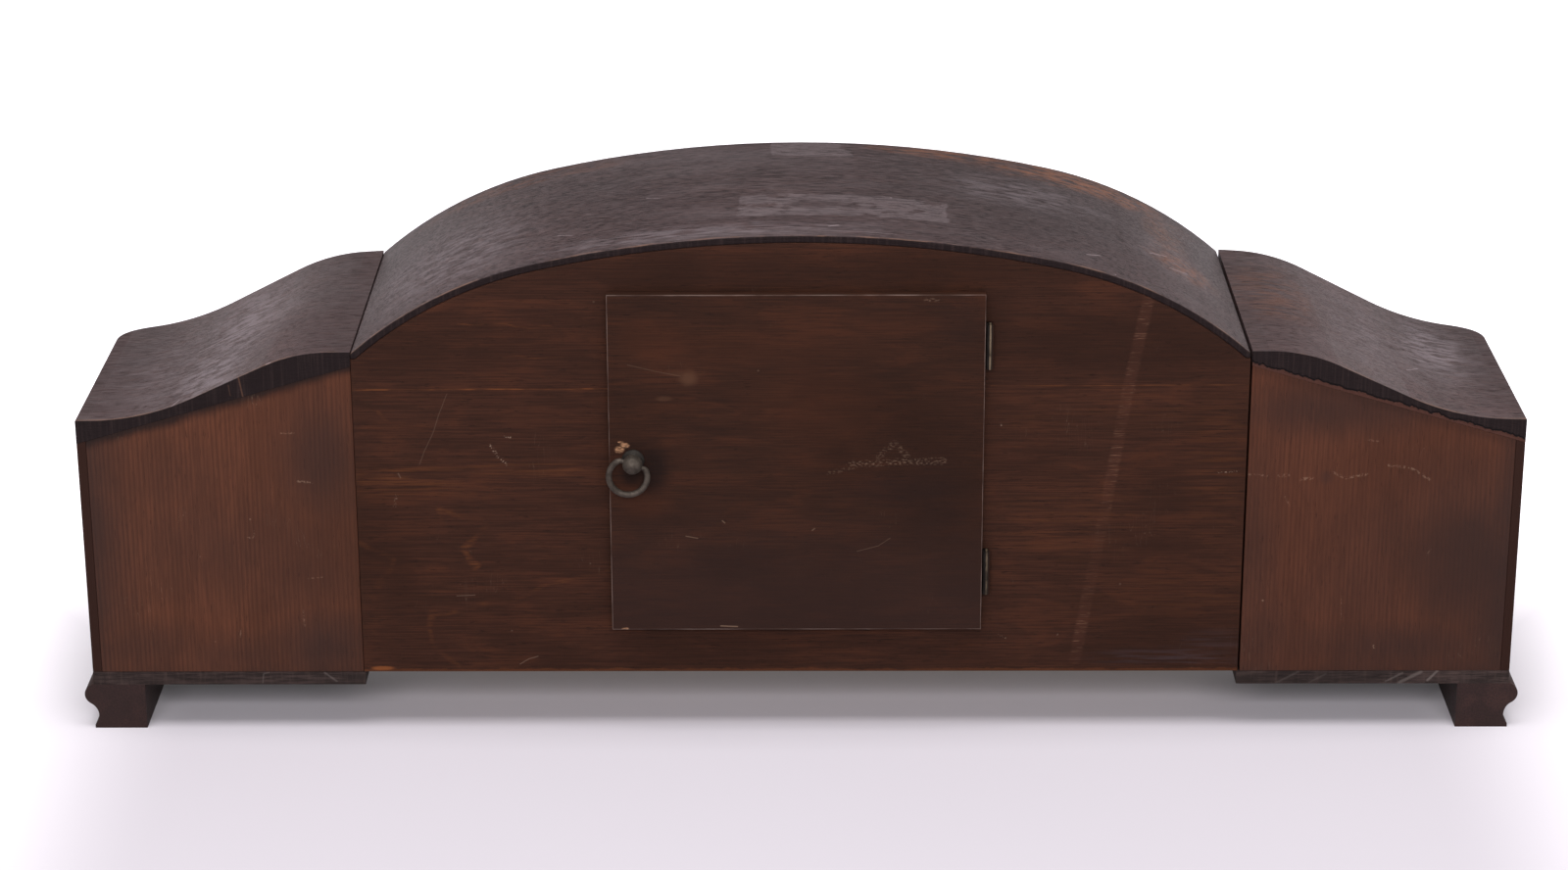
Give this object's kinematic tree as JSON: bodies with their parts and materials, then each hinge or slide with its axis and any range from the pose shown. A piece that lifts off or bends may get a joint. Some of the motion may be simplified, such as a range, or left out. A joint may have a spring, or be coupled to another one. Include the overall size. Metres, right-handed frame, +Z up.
{
  "type": "table clock",
  "caption": "Arched wooden mantel clock with low wavy shoulders, a hinged back door with a ring pull, a glazed dial, and a striking spring movement with a pendulum.",
  "frame": {"origin": "on the floor under the middle of the bounding box", "axes": "+Z up, -Y out of the dial, +Y out of the back door, X along the case"},
  "size_m": [0.6184, 0.1694, 0.2228],
  "materials": {
    "case_wood": "dark red-brown stain, worn satin",
    "top_wood": "dark grey-brown veneer, worn satin",
    "base_wood": "rough dark stain",
    "door_wood": "dark brown stain, worn satin",
    "hinge_metal": "dull plated steel",
    "pull_bronze": "dark patinated bronze",
    "brass": "lacquered brass",
    "steel": "bright steel",
    "dial_face": "cream enamel",
    "hand_black": "black lacquer",
    "glass": "clear domed glass",
    "gong_iron": "black casting"
  },
  "bodies": {
    "case": {"front_panel": "case_wood", "back_board": "case_wood", "arch_top": "top_wood", "partition_left": "case_wood", "partition_right": "case_wood", "base_board": "case_wood", "shoulder_back_left": "case_wood", "shoulder_back_right": "case_wood", "shoulder_wrap_left": "case_wood", "shoulder_wrap_right": "case_wood", "shoulder_cap_left": "top_wood", "shoulder_cap_right": "top_wood", "base_plank_left": "base_wood", "base_plank_right": "base_wood", "rear_feet": "base_wood", "front_feet": "base_wood", "case_hinge_leaves": "hinge_metal", "door_hinge_pins": "hinge_metal", "door_clip": "brass", "dial": "dial_face", "bezel_hinge_leaf": "brass", "bezel_hinge_pin": "hinge_metal", "front_plate": "brass", "back_plate": "brass", "plate_pillars": "brass", "plate_nuts": "steel", "pendulum_cock": "brass", "gong_block": "gong_iron", "gong_rods": "steel"},
    "door": {"back_door": "door_wood", "door_hinge_leaves": "hinge_metal", "ring_knob": "pull_bronze"},
    "ring": {"pull_ring": "pull_bronze"},
    "bezel_frame": {"bezel": "brass", "bezel_glass": "glass"},
    "minute_train": {"cannon_pinion": "brass", "minute_hand": "hand_black", "hand_nut": "brass"},
    "centre": {"centre_wheel": "brass"},
    "hour_train": {"hour_wheel": "brass", "hour_hand": "hand_black"},
    "minute_reducer": {"minute_wheel": "brass"},
    "third": {"third_wheel": "brass"},
    "escape": {"escape_wheel": "brass"},
    "second": {"second_wheel": "brass"},
    "time_drum": {"time_barrel": "brass", "time_mainspring": "steel"},
    "time_winder": {"time_winding_arbor": "steel"},
    "time_pawl": {"time_click": "steel"},
    "strike_drum": {"strike_barrel": "brass", "strike_mainspring": "steel"},
    "strike_winder": {"strike_winding_arbor": "steel"},
    "strike_pawl": {"strike_click": "steel"},
    "pins": {"pin_wheel": "brass"},
    "fly": {"strike_fly": "brass"},
    "hammer_set": {"strike_hammers": "steel"},
    "pallets": {"anchor": "steel"},
    "pendulum": {"pendulum_rod": "steel", "pendulum_bob": "brass"}
  },
  "joints": [
    {"name": "door_swing", "type": "hinge", "parent": "case", "child": "door", "pos_m": [-0.0789, 0.0724, 0.1245], "axis": [0, 0, 1], "range_deg": [0, 170]},
    {"name": "ring_swing", "type": "hinge", "parent": "door", "child": "ring", "pos_m": [0.0704, 0.07945, 0.1255], "axis": [0.9397, 0, 0.342], "range_deg": [-12, 150]},
    {"name": "bezel_swing", "type": "hinge", "parent": "case", "child": "bezel_frame", "pos_m": [-0.082, -0.0724, 0.1245], "axis": [0, 0, -1], "range_deg": [0, 120]},
    {"name": "minute_turn", "type": "hinge", "parent": "case", "child": "minute_train", "pos_m": [0, -0.06, 0.1245], "axis": [0, 1, 0], "continuous": true},
    {"name": "centre_turn", "type": "hinge", "parent": "case", "child": "centre", "pos_m": [0, -0.025, 0.1245], "axis": [0, 1, 0], "continuous": true},
    {"name": "hour_turn", "type": "hinge", "parent": "case", "child": "hour_train", "pos_m": [0, -0.06, 0.1245], "axis": [0, 1, 0], "continuous": true},
    {"name": "minute_wheel_turn", "type": "hinge", "parent": "case", "child": "minute_reducer", "pos_m": [0, -0.055, 0.1405], "axis": [0, 1, 0], "continuous": true},
    {"name": "third_turn", "type": "hinge", "parent": "case", "child": "third", "pos_m": [0.01251, -0.025, 0.14617], "axis": [0, 1, 0], "continuous": true},
    {"name": "escape_turn", "type": "hinge", "parent": "case", "child": "escape", "pos_m": [0, -0.025, 0.16304], "axis": [0, 1, 0], "continuous": true},
    {"name": "second_turn", "type": "hinge", "parent": "case", "child": "second", "pos_m": [0.00391, -0.025, 0.09897], "axis": [0, 1, 0], "continuous": true},
    {"name": "time_barrel_turn", "type": "hinge", "parent": "case", "child": "time_drum", "pos_m": [0.03432, -0.025, 0.10232], "axis": [0, 1, 0], "continuous": true},
    {"name": "time_winding", "type": "hinge", "parent": "case", "child": "time_winder", "pos_m": [0.03432, -0.025, 0.10232], "axis": [0, 1, 0], "continuous": true},
    {"name": "time_click_lift", "type": "hinge", "parent": "case", "child": "time_pawl", "pos_m": [0.03432, -0.05, 0.11582], "axis": [0, 1, 0], "range_deg": [-12, 0]},
    {"name": "strike_barrel_turn", "type": "hinge", "parent": "case", "child": "strike_drum", "pos_m": [-0.03432, -0.025, 0.10232], "axis": [0, 1, 0], "continuous": true},
    {"name": "strike_winding", "type": "hinge", "parent": "case", "child": "strike_winder", "pos_m": [-0.03432, -0.025, 0.10232], "axis": [0, 1, 0], "continuous": true},
    {"name": "strike_click_lift", "type": "hinge", "parent": "case", "child": "strike_pawl", "pos_m": [-0.03432, -0.05, 0.11582], "axis": [0, 1, 0], "range_deg": [-12, 0]},
    {"name": "pin_wheel_turn", "type": "hinge", "parent": "case", "child": "pins", "pos_m": [-0.03964, -0.025, 0.13246], "axis": [0, 1, 0], "continuous": true},
    {"name": "fly_turn", "type": "hinge", "parent": "case", "child": "fly", "pos_m": [-0.03208, -0.025, 0.15323], "axis": [0, 1, 0], "continuous": true},
    {"name": "hammer_lift", "type": "hinge", "parent": "case", "child": "hammer_set", "pos_m": [-0.064, 0, 0.1105], "axis": [0, 1, 0], "range_deg": [0, 14]},
    {"name": "pendulum_swing", "type": "hinge", "parent": "case", "child": "pendulum", "pos_m": [0, 0.011, 0.18054], "axis": [0, 1, 0], "range_deg": [-4, 4]},
    {"name": "anchor_rock", "type": "hinge", "parent": "case", "child": "pallets", "pos_m": [0, 0, 0.18054], "axis": [0, 1, 0], "range_deg": [-4, 4]}
  ],
  "couplings": [
    {"joint": "hour_turn", "follows": "minute_turn", "ratio": 0.083333},
    {"joint": "minute_wheel_turn", "follows": "minute_turn", "ratio": -0.33333},
    {"joint": "centre_turn", "follows": "minute_turn", "ratio": 1},
    {"joint": "third_turn", "follows": "minute_turn", "ratio": -12},
    {"joint": "escape_turn", "follows": "minute_turn", "ratio": 132},
    {"joint": "second_turn", "follows": "minute_turn", "ratio": -0.16667},
    {"joint": "time_barrel_turn", "follows": "minute_turn", "ratio": 0.02381},
    {"joint": "pin_wheel_turn", "follows": "strike_barrel_turn", "ratio": -7},
    {"joint": "fly_turn", "follows": "strike_barrel_turn", "ratio": 52.5},
    {"joint": "anchor_rock", "follows": "pendulum_swing", "ratio": 1}
  ]
}
